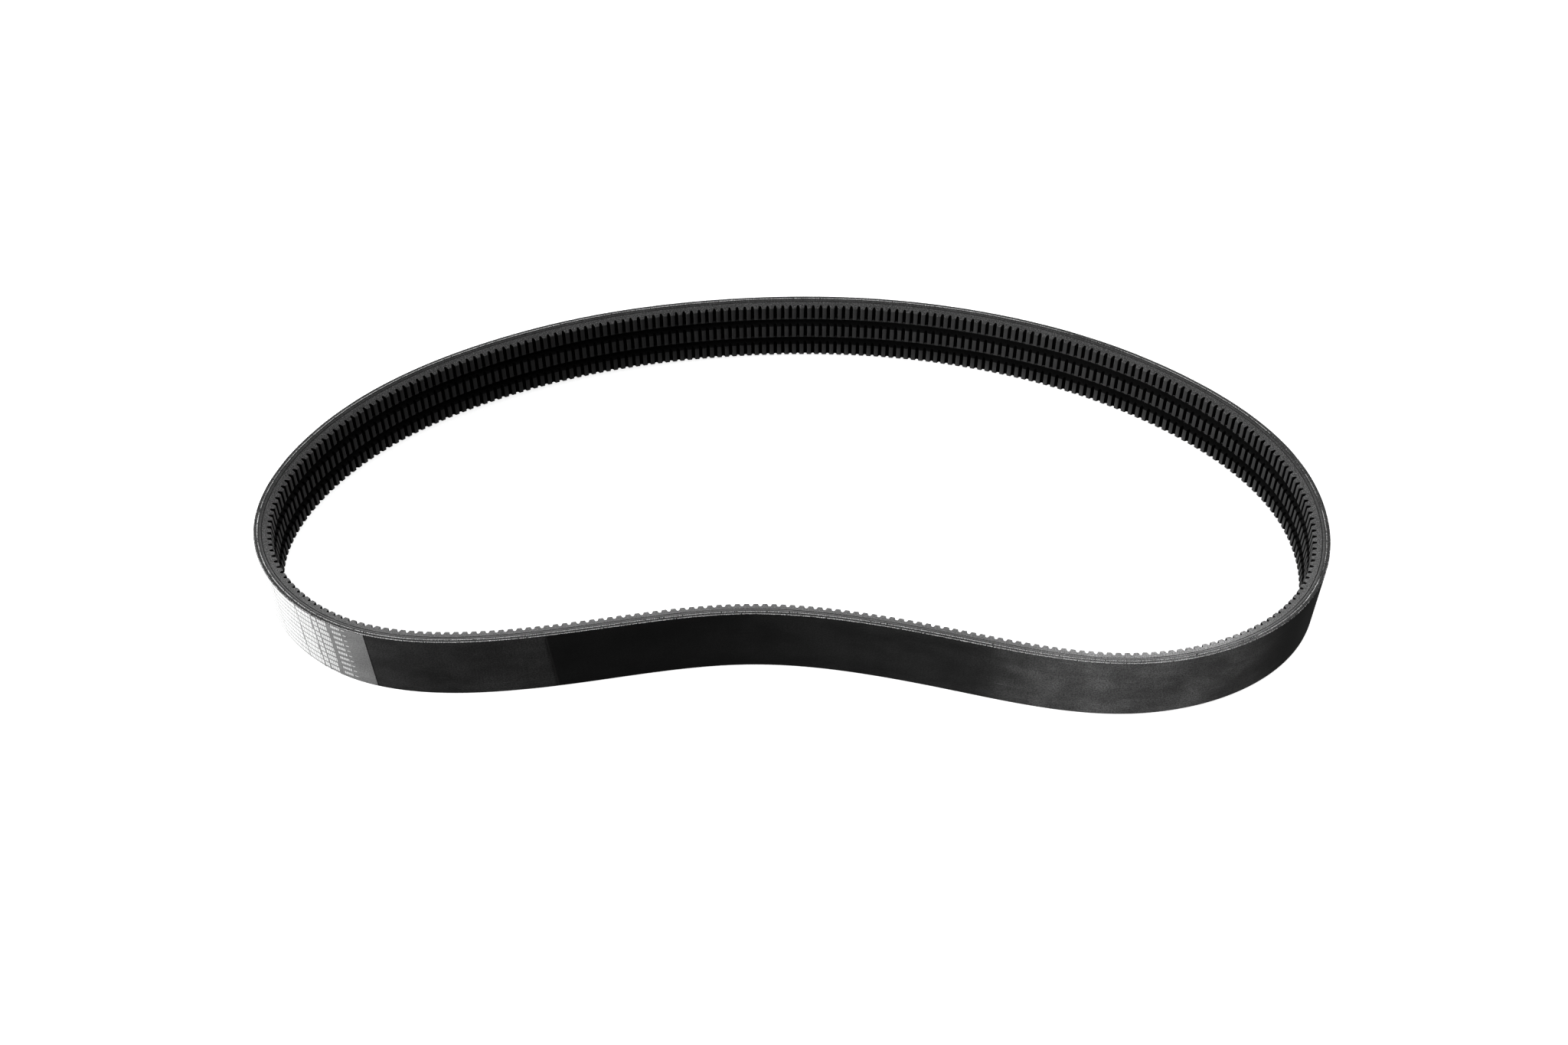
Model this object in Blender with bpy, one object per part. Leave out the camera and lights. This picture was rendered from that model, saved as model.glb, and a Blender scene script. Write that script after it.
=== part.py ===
"""Three-strand joined V-belt with moulded cogs, lying as a relaxed loop that stands on one edge.

The loop's plan is one closed curve, the belt's outer face. Every layer is a section swept along it at its
own depth below that face. X is the loop's length, Y its width and Z runs across the belt.
"""

import math

import bmesh
import bpy
import numpy as np

MM = 0.001

# Control points of the closed cubic B-spline that the outer face follows in plan, in millimetres
LOOP_MM = (
    (-414, -71), (-315, -185), (-157, -171), (-30, -139), (106, -169), (241, -210), (384, -148),
    (399, 6), (296, 116), (175, 174), (41, 198), (-106, 187), (-227, 150), (-352, 71),
)
CURVE_STEPS = 120  # samples of the curve for each control point
FACET_SAG = 0.45 * MM  # how far a straight facet of the loop may leave the curve

STRAND_NAMES = ("lower", "middle", "upper")
STRAND_PITCH = 19.05 * MM
STRAND_TOP_WIDTH = 16.8 * MM
FLANK_ANGLE = math.radians(17.5)
BELT_THICKNESS = 12.0 * MM
BELT_WIDTH = (len(STRAND_NAMES) - 1) * STRAND_PITCH + STRAND_TOP_WIDTH

COG_COUNT = 304
COG_CREST_LENGTH = 3.0 * MM
NOTCH_DEPTH = 2.9 * MM
NOTCH_ROOT_WIDTH = 1.7 * MM
CUT_MARGIN = 1.0 * MM  # how far a cutter runs past what it cuts

GAP = 0.3 * MM
SMOOTH_UNDER = math.radians(25.0)  # edges sharper than this stay sharp
LABEL_THICKNESS = 0.25 * MM
LABEL_START = -12.0 * MM  # along the outer face from the curve's first sample
LABEL_LENGTH = 158.0 * MM
LABEL_EDGE_MARGIN = 0.4 * MM
SPLICE_AT = 274.0 * MM

# Thickness of each layer, in the order met from the outer face inwards
COVER_THICKNESS = 0.8 * MM
BAND_GUM_THICKNESS = 1.0 * MM
BAND_PLY_THICKNESS = 0.6 * MM
OVERCORD_THICKNESS = 0.5 * MM
CORD_THICKNESS = 0.9 * MM
ADHESION_THICKNESS = 0.5 * MM

COVER_DEPTH = 0.0
BAND_GUM_DEPTH = COVER_DEPTH + COVER_THICKNESS + GAP
BAND_PLY_DEPTH = BAND_GUM_DEPTH + BAND_GUM_THICKNESS + GAP
OVERCORD_DEPTH = BAND_PLY_DEPTH + BAND_PLY_THICKNESS + GAP
CORD_DEPTH = OVERCORD_DEPTH + OVERCORD_THICKNESS + GAP
ADHESION_DEPTH = CORD_DEPTH + CORD_THICKNESS + GAP
UNDERCORD_DEPTH = ADHESION_DEPTH + ADHESION_THICKNESS + GAP
NEUTRAL_DEPTH = CORD_DEPTH + CORD_THICKNESS / 2

# Colour, roughness
COVER_LOOK = ((0.030, 0.030, 0.032), 0.62)
LABEL_LOOK = ((0.180, 0.180, 0.180), 0.55)
GUM_LOOK = ((0.020, 0.020, 0.021), 0.60)
PLY_LOOK = ((0.055, 0.055, 0.056), 0.80)
OVERCORD_LOOK = ((0.024, 0.024, 0.025), 0.65)
CORD_LOOK = ((0.420, 0.400, 0.360), 0.75)
ADHESION_LOOK = ((0.016, 0.016, 0.017), 0.60)
UNDERCORD_LOOK = ((0.070, 0.070, 0.072), 0.85)


def clear_scene():
    for obj in list(bpy.data.objects):
        bpy.data.objects.remove(obj, do_unlink=True)


def add_collection(name):
    collection = bpy.data.collections.new(name)
    bpy.context.scene.collection.children.link(collection)
    return collection


def add_material(name, look):
    colour, roughness = look
    material = bpy.data.materials.new(name)
    material.use_nodes = True
    shader = material.node_tree.nodes["Principled BSDF"]
    shader.inputs["Base Color"].default_value = (*colour, 1.0)
    shader.inputs["Roughness"].default_value = roughness
    shader.inputs["Metallic"].default_value = 0.0
    material.diffuse_color = (*colour, 1.0)
    return material


def closed_b_spline(control, steps):
    """Points of the closed uniform cubic B-spline with these control points."""
    u = np.linspace(0.0, 1.0, steps, endpoint=False)
    weights = np.stack(
        [(1 - u) ** 3, 3 * u**3 - 6 * u**2 + 4, -3 * u**3 + 3 * u**2 + 3 * u + 1, u**3], axis=1
    ) / 6.0
    spans = []
    for i in range(len(control)):
        spans.append(weights @ np.take(control, range(i - 1, i + 3), axis=0, mode="wrap"))
    return np.concatenate(spans)


def inward_normals(points):
    """Unit normals that point into a loop that runs anticlockwise."""
    along = np.roll(points, -1, axis=0) - np.roll(points, 1, axis=0)
    along /= np.linalg.norm(along, axis=1, keepdims=True)
    return np.stack([-along[:, 1], along[:, 0]], axis=1)


def running_length(points):
    """Length along a closed polyline at each point, with the full length at the end."""
    steps = np.linalg.norm(np.roll(points, -1, axis=0) - points, axis=1)
    return np.concatenate([[0.0], np.cumsum(steps)])


def at_length(points, lengths, wanted):
    """The points of a closed polyline at the wanted running lengths."""
    closed = np.concatenate([points, points[:1]])
    wanted = np.mod(wanted, lengths[-1])
    return np.stack([np.interp(wanted, lengths, closed[:, i]) for i in (0, 1)], axis=1)


def outer_curve():
    """The outer face in plan, centred on its own box."""
    points = closed_b_spline(np.array(LOOP_MM, float) * MM, CURVE_STEPS)
    return points - (points.min(axis=0) + points.max(axis=0)) / 2


def notch_points(curve):
    """The outer-face points above the notches, which are evenly spaced along the tensile cord."""
    cord = curve + inward_normals(curve) * NEUTRAL_DEPTH
    lengths = running_length(cord)
    wanted = lengths[-1] * np.arange(COG_COUNT) / COG_COUNT
    return at_length(curve, lengths, wanted)


def sag(points):
    """The largest distance of these points from the straight line between the first and the last."""
    chord = points[-1] - points[0]
    offsets = points - points[0]
    across = np.abs(chord[0] * offsets[:, 1] - chord[1] * offsets[:, 0])
    return across.max() / np.linalg.norm(chord)


def station_indices(points):
    """Every few notches, as far apart as the allowed sag lets a facet run."""
    closed = np.concatenate([points, points[:1]])
    picked = [0]
    for i in range(2, len(closed)):
        if sag(closed[picked[-1] : i + 1]) > FACET_SAG:
            picked.append(i - 1)
    return picked


def facet_points(points, stations):
    """Each notch point moved onto the straight facet that it lies on."""
    ends = stations + [len(points)]
    moved = []
    for first, last in zip(ends[:-1], ends[1:]):
        start, end = points[first], points[last % len(points)]
        for i in range(first, last):
            moved.append(start + (end - start) * (i - first) / (last - first))
    return np.array(moved)


def add_poly_curve(name, points, cyclic, collection):
    curve = bpy.data.curves.new(name, "CURVE")
    curve.dimensions = "2D"
    curve.fill_mode = "NONE"
    spline = curve.splines.new("POLY")
    spline.points.add(len(points) - 1)
    for target, (x, y) in zip(spline.points, points):
        target.co = (x, y, 0.0, 1.0)
    spline.use_cyclic_u = cyclic
    obj = bpy.data.objects.new(name, curve)
    collection.objects.link(obj)
    return obj


def make_helper(obj):
    obj.hide_render = True
    obj.display_type = "WIRE"
    return obj


def mesh_object(source, name, collection):
    """The curve object's shape as a mesh object with welded caps; the curve is removed."""
    graph = bpy.context.evaluated_depsgraph_get()
    mesh = bpy.data.meshes.new_from_object(source.evaluated_get(graph))
    work = bmesh.new()
    work.from_mesh(mesh)
    bmesh.ops.remove_doubles(work, verts=work.verts, dist=0.01 * MM)
    bmesh.ops.recalc_face_normals(work, faces=work.faces)
    work.to_mesh(mesh)
    work.free()
    obj = bpy.data.objects.new(name, mesh)
    obj.matrix_world = source.matrix_world
    collection.objects.link(obj)
    bpy.data.objects.remove(source, do_unlink=True)
    return obj


def layer_section(depth, thickness, low, high, flank_angle=0.0, flank_from=0.0):
    """A layer's section as (depth, height) corners; its edges lean in below flank_from."""
    inner = depth + thickness
    lean_outer = max(0.0, depth - flank_from) * math.tan(flank_angle)
    lean_inner = max(0.0, inner - flank_from) * math.tan(flank_angle)
    return (
        (depth, low + lean_outer),
        (inner, low + lean_inner),
        (inner, high - lean_inner),
        (depth, high - lean_outer),
    )


def sweep(name, section, path, cyclic, parts, helpers):
    """A section of (depth, height) corners swept along the path, as a mesh object."""
    profile = make_helper(add_poly_curve(name + "_section", section, True, helpers))
    rail = add_poly_curve(name + "_rail", path, cyclic, helpers)
    rail.data.bevel_mode = "OBJECT"
    rail.data.bevel_object = profile
    rail.data.use_fill_caps = not cyclic
    bpy.context.view_layer.update()
    return mesh_object(rail, name, parts)


def stretch(points, start, end):
    """The part of a closed polyline between two running lengths, both ends included."""
    lengths = running_length(points)
    total = lengths[-1]
    corners = np.concatenate([lengths[:-1] - total, lengths[:-1], lengths[:-1] + total])
    inside = corners[(corners > start) & (corners < end)]
    return at_length(points, lengths, np.concatenate([[start], inside, [end]]))


def add_flat_shapes(name, outlines, low, high, collection):
    """Closed outlines filled and extruded from low to high, as one curve object."""
    curve = bpy.data.curves.new(name, "CURVE")
    curve.dimensions = "2D"
    curve.fill_mode = "BOTH"
    curve.extrude = (high - low) / 2
    for outline in outlines:
        spline = curve.splines.new("POLY")
        spline.points.add(len(outline) - 1)
        for target, (x, y) in zip(spline.points, outline):
            target.co = (x, y, 0.0, 1.0)
        spline.use_cyclic_u = True
    obj = bpy.data.objects.new(name, curve)
    obj.location.z = (low + high) / 2
    collection.objects.link(obj)
    bpy.context.view_layer.update()
    return obj


def notch_outlines(points):
    """A trapezoid for each notch: its short side at the notch's root and its mouth past the cogs' crests."""
    inward = inward_normals(points)
    roots = points + inward * (BELT_THICKNESS - NOTCH_DEPTH)
    crests = points + inward * BELT_THICKNESS
    mouths = crests + inward * CUT_MARGIN
    along = (np.roll(crests, -1, axis=0) - np.roll(crests, 1, axis=0)) / 2
    crest_pitch = np.linalg.norm(along, axis=1, keepdims=True)
    along /= crest_pitch
    half_root = NOTCH_ROOT_WIDTH / 2
    half_mouth = (crest_pitch - COG_CREST_LENGTH) / 2
    half_mouth += (half_mouth - half_root) * CUT_MARGIN / NOTCH_DEPTH
    corners = (
        roots - along * half_root,
        roots + along * half_root,
        mouths + along * half_mouth,
        mouths - along * half_mouth,
    )
    return np.stack(corners, axis=1)


def make_notch_cutter(points, helpers):
    """One comb of prisms that cuts the notches of all the strands in line."""
    outlines = notch_outlines(points)
    shapes = add_flat_shapes("notch_outlines", outlines, -CUT_MARGIN, BELT_WIDTH + CUT_MARGIN, helpers)
    return make_helper(mesh_object(shapes, "notch_cutter", helpers))


def finish(obj, material):
    obj.data.materials.clear()
    obj.data.materials.append(material)
    obj.data.shade_smooth()
    obj.data.set_sharp_from_angle(angle=SMOOTH_UNDER)


def make_tie_band(loop, parts, helpers):
    """The band that joins the strands: a spliced cover fabric, a gum sheet and an inner ply."""
    length = running_length(loop)[-1]
    cover_path = stretch(loop, SPLICE_AT + GAP / 2, SPLICE_AT + length - GAP / 2)
    cover_section = layer_section(COVER_DEPTH, COVER_THICKNESS, 0.0, BELT_WIDTH)
    cover = sweep("cover_fabric", cover_section, cover_path, False, parts, helpers)
    finish(cover, add_material("cover_fabric", COVER_LOOK))
    gum_section = layer_section(BAND_GUM_DEPTH, BAND_GUM_THICKNESS, 0.0, BELT_WIDTH)
    gum = sweep("tie_band_gum", gum_section, loop, True, parts, helpers)
    finish(gum, add_material("tie_band_gum", GUM_LOOK))
    ply_section = layer_section(BAND_PLY_DEPTH, BAND_PLY_THICKNESS, 0.0, BELT_WIDTH)
    ply = sweep("tie_band_inner_ply", ply_section, loop, True, parts, helpers)
    finish(ply, add_material("tie_band_inner_ply", PLY_LOOK))


def make_label(loop, parts, helpers):
    """A thin transfer film on the outer face."""
    path = stretch(loop, LABEL_START, LABEL_START + LABEL_LENGTH)
    depth = -GAP - LABEL_THICKNESS
    high = BELT_WIDTH - LABEL_EDGE_MARGIN
    section = layer_section(depth, LABEL_THICKNESS, LABEL_EDGE_MARGIN, high)
    label = sweep("printed_label", section, path, False, parts, helpers)
    finish(label, add_material("printed_label", LABEL_LOOK))


def strand_section(depth, thickness, low):
    high = low + STRAND_TOP_WIDTH
    return layer_section(depth, thickness, low, high, FLANK_ANGLE, OVERCORD_DEPTH)


def make_strand(strand, low, loop, notch_cutter, materials, parts, helpers):
    """One V-section strand: its three thin layers and the cogged base."""
    thin_layers = (
        ("overcord", OVERCORD_DEPTH, OVERCORD_THICKNESS),
        ("tensile_cord", CORD_DEPTH, CORD_THICKNESS),
        ("adhesion_gum", ADHESION_DEPTH, ADHESION_THICKNESS),
    )
    for layer, depth, thickness in thin_layers:
        section = strand_section(depth, thickness, low)
        ring = sweep(f"{strand}_strand_{layer}", section, loop, True, parts, helpers)
        finish(ring, materials[layer])
    section = strand_section(UNDERCORD_DEPTH, BELT_THICKNESS - UNDERCORD_DEPTH, low)
    base = sweep(f"{strand}_strand_cogged_base", section, loop, True, parts, helpers)
    finish(base, materials["cogged_base"])
    cut = base.modifiers.new("notches", "BOOLEAN")
    cut.operation = "DIFFERENCE"
    cut.solver = "EXACT"
    cut.object = notch_cutter


def make_strands(loop, notch_cutter, parts, helpers):
    materials = {
        "overcord": add_material("overcord", OVERCORD_LOOK),
        "tensile_cord": add_material("tensile_cord", CORD_LOOK),
        "adhesion_gum": add_material("adhesion_gum", ADHESION_LOOK),
        "cogged_base": add_material("cogged_base", UNDERCORD_LOOK),
    }
    for i, strand in enumerate(STRAND_NAMES):
        make_strand(strand, i * STRAND_PITCH, loop, notch_cutter, materials, parts, helpers)


def main():
    clear_scene()
    parts = add_collection("joined_v_belt")
    helpers = add_collection("cutters")
    notches = notch_points(outer_curve())
    stations = station_indices(notches)
    loop = notches[stations]
    make_tie_band(loop, parts, helpers)
    make_label(loop, parts, helpers)
    notch_cutter = make_notch_cutter(facet_points(notches, stations), helpers)
    make_strands(loop, notch_cutter, parts, helpers)


main()
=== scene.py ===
"""Looks for the joined cogged V-belt: every layer is lofted finely along the loop, in place of its CAD solid.

Lengths along the belt are in metres, counted along the outer face from the loop's left end. A depth is
counted from the outer face inwards, and a height is the shared frame's Z.
"""

import math

import bmesh
import bpy
import numpy as np
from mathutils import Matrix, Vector


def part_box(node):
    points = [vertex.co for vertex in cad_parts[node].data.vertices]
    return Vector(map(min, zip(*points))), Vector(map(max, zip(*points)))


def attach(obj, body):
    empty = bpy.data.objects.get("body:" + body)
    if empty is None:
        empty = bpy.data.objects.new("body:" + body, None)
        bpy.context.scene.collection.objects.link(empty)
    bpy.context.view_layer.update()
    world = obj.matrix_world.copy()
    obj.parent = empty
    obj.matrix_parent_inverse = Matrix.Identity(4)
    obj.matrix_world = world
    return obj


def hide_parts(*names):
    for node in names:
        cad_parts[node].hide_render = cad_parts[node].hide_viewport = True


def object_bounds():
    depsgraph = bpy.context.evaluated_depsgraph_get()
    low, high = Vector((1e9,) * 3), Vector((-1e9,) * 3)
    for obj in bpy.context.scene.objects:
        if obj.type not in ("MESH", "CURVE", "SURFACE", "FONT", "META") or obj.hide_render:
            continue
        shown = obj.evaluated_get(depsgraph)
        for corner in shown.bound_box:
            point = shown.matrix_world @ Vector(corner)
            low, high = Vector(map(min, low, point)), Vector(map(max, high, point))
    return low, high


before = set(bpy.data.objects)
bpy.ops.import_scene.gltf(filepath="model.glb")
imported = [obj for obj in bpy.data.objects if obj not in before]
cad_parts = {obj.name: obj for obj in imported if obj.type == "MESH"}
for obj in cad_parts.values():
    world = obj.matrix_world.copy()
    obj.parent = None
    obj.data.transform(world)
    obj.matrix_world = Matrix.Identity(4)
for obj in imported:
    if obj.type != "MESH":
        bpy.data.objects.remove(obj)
CAD_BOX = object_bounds()

MM = 0.001
SEED = 730
TIE_BAND_SEED, PRINT_SEED, BASE_SEED, LAYER_SEED = SEED + 1, SEED + 3, SEED + 10, SEED + 40

# The loop's plan: control points of a closed cubic B-spline, in millimetres, as in the CAD model
LOOP_MM = (
    (-414, -71), (-315, -185), (-157, -171), (-30, -139), (106, -169), (241, -210), (384, -148),
    (399, 6), (296, 116), (175, 174), (41, 198), (-106, 187), (-227, 150), (-352, 71),
)
CURVE_STEPS = 360
COG_COUNT = 304
NEUTRAL_DEPTH = 4.55 * MM
BELT_THICKNESS = 12.0 * MM
NOTCH_DEPTH = 2.9 * MM
COG_CREST_LENGTH = 3.0 * MM
FLANK_ANGLE = math.radians(17.5)
FLANK_FROM = 3.3 * MM
STRANDS = ("lower", "middle", "upper")

# Where each layer starts and ends, with a hair between neighbours
SEAM = 0.03 * MM
COVER_DEPTHS = (0.0, 0.95 * MM)
GUM_DEPTHS = (0.95 * MM, 2.30 * MM)
PLY_DEPTHS = (2.30 * MM, 3.15 * MM)
OVERCORD_DEPTHS = (3.15 * MM, 3.95 * MM)
CORD_DEPTHS = (3.95 * MM, 5.15 * MM)
ADHESION_DEPTHS = (5.15 * MM, 5.75 * MM)
BASE_DEPTH = 5.75 * MM

# The cover's two ends meet with a hair between them, and it swells a little over the lap before them
SPLICE_AT = 273.7 * MM
SPLICE_HAIR = 0.01 * MM
SPLICE_LAP = 28.0 * MM
SPLICE_SWELL = 0.02 * MM
# The splice leans: how far along the belt it moves for each unit up
SPLICE_LEAN = -0.084
COVER_STEP = 1.5 * MM
COVER_CORNER = 0.28 * MM
# The cover's outer face lies this deep on the whole. It waves in and out by so much, over so many stations
COVER_SUNK = 0.03 * MM
COVER_WAVES = ((0.03 * MM, 40), (0.012 * MM, 6))

# The gum sheet and the inner ply: their steps and corners, how far their cut edges wander, and how far those
# stop short of the cover's
SHEET_STEP = 2.0 * MM
SHEET_CORNER = 0.15 * MM
SHEET_WANDER = 0.03 * MM
GUM_SHORT = 0.06 * MM
PLY_SHORT = 0.03 * MM
# A cut edge wanders with a bump every so many stations
WANDER_CELLS = (2, 9)

# The yarn ends: which depth each cloth's lie at, their size and spacing, the share that shows, and how deep
# they lie under the cut edge
COVER_YARN_DEPTH = 0.40 * MM
PLY_YARN_DEPTH = 2.62 * MM
YARN_RADIUS = 0.36 * MM
YARN_PITCH = 0.76 * MM
YARN_SHOWN = 0.97
YARN_SUNK = 0.09 * MM
# How unevenly they are set: along the belt as a share of the spacing, in depth, in size and in width
YARN_JITTER = 0.14
YARN_DEPTH_SCATTER = 0.04 * MM
YARN_SIZES = (0.80, 1.15)
YARN_WIDTHS = (0.85, 1.1)
# A dome's half height, as a share of its size and what is added to that
YARN_HEIGHT = (0.35, 0.10 * MM)
# Rubber smeared over the cut edge hides them: where it begins, is full, starts to end and ends, and how deep
# it is where it is full
YARN_SMEARS = (
    (690.0 * MM, 850.0 * MM, 1150.0 * MM, 1260.0 * MM, 0.16 * MM),
    (1720.0 * MM, 1800.0 * MM, 2000.0 * MM, 2090.0 * MM, 0.11 * MM),
)
# The smear is patchy: its factor on average, how far that varies, its most, and a patch's size in yarn ends
SMEAR_MEAN, SMEAR_VARIES, SMEAR_MOST, SMEAR_CELL = 0.8, 0.4, 1.2, 25
SMEAR_SCATTER = 0.02 * MM
# Each yarn end is a dome with this many sides, and rings of these radii and heights between its two tips
DOME_SIDES = 6
DOME_RINGS = ((1.0, -0.2), (0.72, 0.65))

# A strand's thin layers: name, slot, depths, material, and how far the cut edge stands out from the flank
THIN_LAYERS = (
    ("overcord", "overcord_rubber", OVERCORD_DEPTHS, "overcord", 0.02 * MM),
    ("tensile_cord", "tensile_cord", CORD_DEPTHS, "cord", 0.0),
    ("adhesion_gum", "adhesion_gum", ADHESION_DEPTHS, "adhesion", -0.10 * MM),
)
LAYER_STEP = 3.0 * MM
LAYER_CORNER = 0.12 * MM
LAYER_ROUNDING = 0.3 * LAYER_CORNER
LAYER_WANDER = 0.035 * MM

# Half a notch and half a crest: distance from the notch's middle as a share of its half mouth, and how far
# down to the root, from 0 at the crest to 1
NOTCH_PROFILE = (
    (0.00, 1.000), (0.24, 0.985), (0.43, 0.920), (0.56, 0.800), (0.64, 0.640),
    (0.85, 0.220), (0.92, 0.085), (1.02, 0.018), (1.18, 0.000),
)
# A face counts as in the notch from this far down
NOTCH_STARTS = 0.1
NOTCH_UNEVEN = 0.03 * MM

# A cogged base's flank: how far its shoulder lies below its top, how deep its middle lies and how far short
# of the crest its edge stops. Then how far the flank frays, and the share of it at the top and those three
BASE_SHOULDER = 1.3 * MM
BASE_MIDDLE_DEPTH = 8.55 * MM
BASE_EDGE = 0.16 * MM
BASE_FRAY = 0.02 * MM
BASE_FRAY_CELL = 5
BASE_FRAY_SHARES = (0.3, 0.6, 1.0, 1.0)
# The corner between flank and crest: the depth of its first point, and how far its two points are cut back
BASE_CORNER_DEPTH = 0.05 * MM
BASE_CORNER_CUTS = (0.04 * MM, 0.17 * MM)
BASE_CREST_SHARE = 0.45
BASE_SHARP_ANGLE = 38.0
# The base's material slots
CUT, CREST, NOTCH, GROOVE = range(4)

LABEL_FROM, LABEL_TO = -12.0 * MM, 147.4 * MM
LABEL_LEAN = -0.045
LABEL_STEP = 2.0 * MM
LABEL_CORNER = 0.05 * MM
LABEL_DEPTHS = (-0.15 * MM, -0.02 * MM)
# The film's painted highlight along the belt, held down towards the far end where the film turns away:
# between which millimetres it changes, and its factor before and after
LABEL_PAINTED_HIGHLIGHT = (((35.0, 122.0), (1.95, 1.0)), ((0.0, 34.0), (0.38, 1.0)))

# Columns of the print: start and end along the belt, shortest and longest tick, gap, and tick height
PRINT_COLUMNS = (
    (130.5 * MM, 133.0 * MM, 2.5 * MM, 2.5 * MM, 0.5 * MM, 0.7 * MM),
    (122.0 * MM, 129.6 * MM, 0.8 * MM, 1.1 * MM, 0.5 * MM, 2.5 * MM),
    (110.2 * MM, 118.2 * MM, 1.2 * MM, 1.6 * MM, 0.45 * MM, 3.7 * MM),
    (104.9 * MM, 108.7 * MM, 1.7 * MM, 1.7 * MM, 0.35 * MM, 4.0 * MM),
    (89.6 * MM, 103.5 * MM, 1.6 * MM, 3.4 * MM, 0.4 * MM, 4.2 * MM),
    (62.0 * MM, 88.6 * MM, 1.8 * MM, 4.2 * MM, 0.4 * MM, 4.2 * MM),
    (26.0 * MM, 61.2 * MM, 1.8 * MM, 4.2 * MM, 0.4 * MM, 4.2 * MM),
    (-10.0 * MM, 24.0 * MM, 1.8 * MM, 4.2 * MM, 0.4 * MM, 4.2 * MM),
)
PRINT_ROWS = 11
PRINT_ROW_PITCH = 5.35 * MM
PRINT_FIRST_ROW = 1.5 * MM
PRINT_DEPTHS = (-0.18 * MM, -0.14 * MM)
PRINT_SEGMENTS = 2
# How far the ink stops short of the film's edges, and the lowest tick worth making
PRINT_MARGIN = 0.1 * MM
PRINT_LOWEST = 0.3 * MM

# The cloths' thread spacings, in the belt coordinate's millimetres
WARP_PITCH = 0.9
WEFT_PITCH = 1.0
PLY_THREAD_PITCH = 0.8

# Paler stretches of the belt, partly chalky bloom and partly painted light: up to the splice, where it grows,
# a real difference between the cover's panels with painted sheen on it; and on the right-hand bend, where it
# fades in and out, a bloom with a painted pool of light over it
PANEL_SHEEN_NEAR_SPLICE = (185.0 * MM, 255.0 * MM)
PANEL_SHEEN_SPLICE_GAIN = 2.8
BEND_BLOOM_AND_LIGHT_RISE = (555.0 * MM, 650.0 * MM)
BEND_BLOOM_AND_LIGHT_FALL = (725.0 * MM, 815.0 * MM)

WHITE = (1.0, 1.0, 1.0, 1.0)
ORIGIN = (0.0, 0.0, 0.0)
FLOOR_GLOW = 0.85
FLOOR_RADIUS, COVE_RADIUS, WALL_TOP = 9.0, 3.0, 9.0
COVE_STEPS = 12
FLOOR_SIDES = 64
FLOOR_DROP = 0.5 * MM
WORLD_STRENGTH = 0.074
# Each softbox's name, place, width and height in metres, and power in watts; all face the origin
SOFTBOXES = (
    ("back_strip", (0.0, 3.0, 0.6), (4.0, 1.1), 90.7),
    ("left_softbox", (-2.3, -0.15, 0.5), (1.0, 0.8), 56.0),
    ("left_front_softbox", (-2.3, -0.9, 0.7), (1.2, 0.9), 24.0),
    ("right_softbox", (2.4, 1.0, 0.7), (1.0, 0.8), 16.0),
    ("top_softbox", (0.0, 0.2, 2.8), (3.0, 3.0), 22.6),
)
# A lamp on the right-hand bend, low enough for the front of the belt to shade the back from it
BEND_LAMP_AT, BEND_LAMP_AIM = (0.15, -2.3, 0.27), (0.250, -0.19, 0.03)
BEND_LAMP_POWER = 116.0
BEND_LAMP_LOOK = {"spot_size": math.radians(9.2), "spot_blend": 0.85, "shadow_soft_size": 0.2}

CAMERA_AT = Vector((-0.00514, -0.98177, 1.02079))
CAMERA_AIM = Vector((-0.00514, -0.00959, 0.0))
CAMERA_LENS = 42.486
CAMERA_SENSOR = 36.0


def heights(node):
    """The lowest and highest Z of a CAD node."""
    low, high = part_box(node)
    return low.z, high.z


# ---------------------------------------------------------------- the loop in plan


def closed_b_spline(control, steps):
    """Points of the closed uniform cubic B-spline with these control points."""
    u = np.linspace(0.0, 1.0, steps, endpoint=False)
    weights = np.stack(
        [(1 - u) ** 3, 3 * u**3 - 6 * u**2 + 4, -3 * u**3 + 3 * u**2 + 3 * u + 1, u**3], axis=1
    ) / 6.0
    spans = []
    for i in range(len(control)):
        spans.append(weights @ np.take(control, range(i - 1, i + 3), axis=0, mode="wrap"))
    return np.concatenate(spans)


def running_length(points):
    """The length along a closed polyline at each point, and once more at the first after a turn."""
    steps = np.linalg.norm(np.roll(points, -1, axis=0) - points, axis=1)
    return np.concatenate([[0.0], np.cumsum(steps)])


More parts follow.
